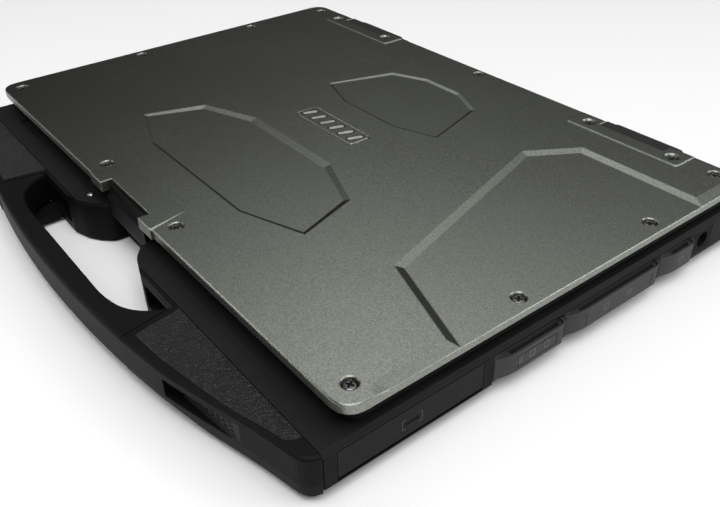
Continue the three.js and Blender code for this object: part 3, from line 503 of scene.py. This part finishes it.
# ---------------------------------------------------------------- small details
def make_deck_dome():
    """A small polished dome of metal on the deck, left of the latch."""
    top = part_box("base_top_cover")[1][2]
    at = (-34 * MM, -108.1 * MM, top - 0.1 * MM)
    profile = [(0, 0), (1.7 * MM, 0), (1.7 * MM, 0.25 * MM)]
    profile += [(1.7 * MM * math.cos(a), (0.25 + 0.9 * math.sin(a)) * MM) for a in (0.3, 0.6, 0.9, 1.2)]
    profile.append((0, 1.15 * MM))
    dome = piece("deck_dome", lambda made: turned(made, profile, 32, at), "socket_metal", "base")
    dome.data.shade_smooth()


def side_strokes(name, outlines, face, side, height, slot, body, look):
    """Strokes drawn in (y, z) on a side face, standing out of it by the height."""
    def build(made):
        for corners in outlines:
            slab(made, corners, side * (face - 0.1 * MM), side * (face + height), "yzx")

    piece(name, build, slot, body, look)


def pictogram(kind, y, z):
    """A plain generic mark a little over 3 mm high: a ring, three bars, or a square."""
    width = 0.45 * MM
    if kind == "ring":
        return ring_strokes((y, z), 1.5 * MM, width)
    if kind == "bars":
        return [bar_outline((y + dy * MM, z), 3.2 * MM, width, math.pi / 2) for dy in (-1.2, 0, 1.2)]
    sides = [((0, 1.4), 0), ((0, -1.4), 0), ((1.4, 0), math.pi / 2), ((-1.4, 0), math.pi / 2)]
    return [bar_outline((y + dy * MM, z + dz * MM), 3.1 * MM, width, turn) for (dy, dz), turn in sides]


COVER_MARKS = {
    "port_cover_a": [(0.3, "bars"), (0.5, "square"), (0.72, "ring")],
    "port_cover_b": [(0.4, "square"), (0.66, "bars")],
    "port_cover_c": [(0.6, "ring")],
    "port_cover_left": [(0.55, "bars")],
}


def make_cover_marks(node):
    """The marks on a port cover, as thin inlays of another grey."""
    low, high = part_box(node)
    side = 1 if high[0] > 0 else -1
    face = max(abs(low[0]), abs(high[0]))
    middle = low[2] + 0.44 * (high[2] - low[2])
    outlines = []
    for share, kind in COVER_MARKS[node]:
        outlines += pictogram(kind, low[1] + share * (high[1] - low[1]), middle)
    side_strokes(f"{node}_marks", outlines, face, side, 0.02 * MM, slot_of[node], body_of[node], MARK_INK)


def make_battery_mark():
    """Two brackets moulded on the battery's panel."""
    low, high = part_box("battery_pack")
    middle = (low[2] + high[2]) / 2 + 0.3 * MM
    y = low[1] + 32.3 * MM
    strokes = []
    for side in (-1, 1):
        strokes.append(bar_outline((y + side * 4.6 * MM, middle), 5 * MM, 0.4 * MM, math.pi / 2))
        for end in (-1, 1):
            strokes.append(bar_outline((y + side * 3.9 * MM, middle + end * 2.3 * MM), 1.8 * MM, 0.4 * MM))
    side_strokes("battery_mark", strokes, high[0], 1, 0.15 * MM, "case_plastic", "battery", COVER_RUBBER)


def make_nameplate():
    """A row of plain bright strokes, each in a dark surround, on the blank plate: no name, no mark."""
    low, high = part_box("nameplate")
    count = 6
    pitch = (high[0] - low[0] - 9 * MM) / (count - 1)
    middle = (low[1] + high[1]) / 2

    def strokes(length, width, rise):
        def build(made):
            for i in range(count):
                stroke = bar_outline((low[0] + 4.5 * MM + i * pitch, middle), length, width, 1.25)
                slab(made, stroke, high[2] - 0.05 * MM, high[2] + rise, "xyz")

        return build

    piece("nameplate_surrounds", strokes(10 * MM, 4.4 * MM, 0.01 * MM), "plate_metal", "lid", RUBBER)
    piece("nameplate_strokes", strokes(8.4 * MM, 2.8 * MM, 0.02 * MM), "plate_metal", "lid")


def make_power_pin(low, high):
    """The round-ended pin in the middle of the power inlet."""
    at = (low[0] + 0.2 * MM, (low[1] + high[1]) / 2, (low[2] + high[2]) / 2)
    radius = 0.95 * MM
    length = 8.5 * MM
    profile = [(0, 0), (radius, 0), (radius, length - radius)]
    profile += [(radius * math.cos(a), length - radius + radius * math.sin(a)) for a in (0.4, 0.8, 1.2)]
    profile.append((0, length))
    tilt = Matrix.Rotation(math.pi / 2, 4, "Y")
    pin = piece("power_pin", lambda made: turned(made, profile, 24, at, tilt), "socket_metal", "base")
    pin.data.shade_smooth()


def make_tongue(name, low, high):
    """The contact tongue of a data socket, ending 2 mm behind the socket's mouth."""
    side = 1 if high[0] > 0 else -1
    near, far = sorted((abs(low[0]), abs(high[0])))
    middle = (low[2] + high[2]) / 2
    under, over = middle - 0.2 * MM, middle + 1.4 * MM
    ends = (low[1] + 1.2 * MM, high[1] - 1.2 * MM)
    corners = [(ends[0], under), (ends[1], under), (ends[1], over), (ends[0], over)]

    def build(made):
        slab(made, corners, side * near, side * (far - 2 * MM), "yzx")

    rounded(piece(name, build, "rubber", "base"), 0.15 * MM, 2)


def make_socket_details():
    for opening in frame["record"]["physics"]["openings"]:
        low, high = (Vector(corner) for corner in opening["box_m"])
        label = opening["name"]
        if label == "power_inlet":
            make_power_pin(low, high)
        elif label.startswith("socket") and "data" in opening["holds"]:
            make_tongue(f"{label}_tongue", low, high)


for name in sorted(nodes):
    if name.startswith("lid_screw_"):
        make_screw(name)
for name in COVER_MARKS:
    make_cover_marks(name)
make_deck_dome()
make_battery_mark()
make_nameplate()
make_socket_details()


# ---------------------------------------------------------------- floor, light and camera
def stage_material():
    material, shader = new_material("pale_floor", (0.93, 0.93, 0.93), 0.9)
    tone = noise(material, 3, 2.0)
    pale = shades(material, tone, (0.925, 0.925, 0.925), (0.935, 0.935, 0.935))
    wire(material, pale, shader.inputs["Base Color"])
    return material


FLOOR_SIZE = 3.2
FLOOR_DROP = 0.2 * MM  # how far the floor lies under the feet


def make_floor():
    bpy.ops.mesh.primitive_plane_add(size=FLOOR_SIZE, location=(0, 0, -FLOOR_DROP))
    floor = bpy.context.object
    floor.name = "floor"
    floor.data.materials.append(stage_material())


# The sky's brightness from the horizon up, and from the far side to the bright side.
SKY = [
    (0.0, 0.003), (0.3, 0.01), (0.4, 0.03), (0.5, 0.12), (0.58, 0.34), (0.69, 0.78), (0.8, 0.6), (1.0, 0.35),
]
BRIGHT_SIDE = (0.55, 0.83, 0.0)
SIDE_LEVELS = [(0.0, 0.02), (0.225, 0.03), (0.375, 0.42), (0.52, 0.95), (0.64, 0.74), (0.8, 0.62), (1.0, 0.6)]


def grey_ramp(tree, levels):
    """A ramp through (position, brightness) stops."""
    ramp = tree.nodes.new("ShaderNodeValToRGB")
    stops = ramp.color_ramp.elements
    while len(stops) < len(levels):
        stops.new(0.5)
    for stop, (position, level) in zip(stops, levels):
        stop.position = position
        stop.color = (level, level, level, 1)
    return ramp


def side_strength(tree, direction):
    """The sky's strength, from the direction it is seen in."""
    towards = tree.nodes.new("ShaderNodeVectorMath")
    towards.operation = "DOT_PRODUCT"
    towards.inputs[1].default_value = BRIGHT_SIDE
    tree.links.new(direction, towards.inputs[0])
    share = tree.nodes.new("ShaderNodeMapRange")
    share.inputs["From Min"].default_value = -1
    tree.links.new(towards.outputs["Value"], share.inputs["Value"])
    side = grey_ramp(tree, SIDE_LEVELS)
    tree.links.new(share.outputs["Result"], side.inputs["Fac"])
    strength = tree.nodes.new("ShaderNodeMath")
    strength.operation = "MULTIPLY"
    strength.inputs[1].default_value = 2
    tree.links.new(side.outputs["Color"], strength.inputs[0])
    return strength.outputs["Value"]


def make_world():
    """A soft dome, dark near the horizon and darker on one side, which the camera sees as plain white."""
    world = bpy.data.worlds.new("studio")
    bpy.context.scene.world = world
    world.use_nodes = True
    tree = world.node_tree
    dome = tree.nodes["Background"]
    direction = tree.nodes.new("ShaderNodeTexCoord").outputs["Generated"]
    split = tree.nodes.new("ShaderNodeSeparateXYZ")
    ramp = grey_ramp(tree, SKY)
    tree.links.new(direction, split.inputs["Vector"])
    tree.links.new(split.outputs["Z"], ramp.inputs["Fac"])
    tree.links.new(ramp.outputs["Color"], dome.inputs["Color"])
    tree.links.new(side_strength(tree, direction), dome.inputs["Strength"])
    plain = tree.nodes.new("ShaderNodeBackground")
    plain.inputs["Color"].default_value = (0.95, 0.95, 0.95, 1)
    path = tree.nodes.new("ShaderNodeLightPath")
    mix = tree.nodes.new("ShaderNodeMixShader")
    tree.links.new(path.outputs["Is Camera Ray"], mix.inputs[0])
    tree.links.new(dome.outputs["Background"], mix.inputs[1])
    tree.links.new(plain.outputs["Background"], mix.inputs[2])
    tree.links.new(mix.outputs["Shader"], tree.nodes["World Output"].inputs["Surface"])


def area_light(name, place_at, aim, size, power):
    light = bpy.data.lights.new(name, "AREA")
    light.size = size
    light.energy = power
    obj = bpy.data.objects.new(name, light)
    bpy.context.scene.collection.objects.link(obj)
    obj.location = place_at
    obj.rotation_euler = (Vector(aim) - Vector(place_at)).to_track_quat("-Z", "Y").to_euler()


CAMERA_AT = (0.31454, -0.20787, 0.21924)
AZIMUTH = math.radians(52.605)
ELEVATION = math.radians(34.892)
ROLL = math.radians(-1.169)
SENSOR_WIDTH = 36  # in mm
FOCAL_LENGTH = 39.40  # in mm


def make_camera():
    """Looks down over the front right corner, a little rolled."""
    back = Vector((
        math.sin(AZIMUTH) * math.cos(ELEVATION),
        -math.cos(AZIMUTH) * math.cos(ELEVATION),
        math.sin(ELEVATION),
    ))
    level = (-back).cross(Vector((0, 0, 1))).normalized()
    up = level.cross(-back)
    right = level * math.cos(ROLL) + up * math.sin(ROLL)
    above = up * math.cos(ROLL) - level * math.sin(ROLL)
    camera = bpy.data.cameras.new("camera")
    camera.sensor_width = SENSOR_WIDTH
    camera.lens = FOCAL_LENGTH
    camera.clip_start = 0.01
    obj = bpy.data.objects.new("camera", camera)
    bpy.context.scene.collection.objects.link(obj)
    turn = Matrix((right, above, back)).transposed()
    obj.matrix_world = Matrix.Translation(CAMERA_AT) @ turn.to_4x4()
    bpy.context.scene.camera = obj


make_floor()
make_world()
area_light("key", (0.35, -0.25, 1.1), (0, 0, 0), 0.9, 9)
area_light("front_rim", (-0.98, -0.86, 0.76), (0, 0, 0.03), 0.6, 3.4)
area_light("right_rim", (0.95, 1.05, 0.75), (0, 0, 0.03), 0.8, 6)
make_camera()
bpy.context.scene.view_settings.view_transform = "Standard"
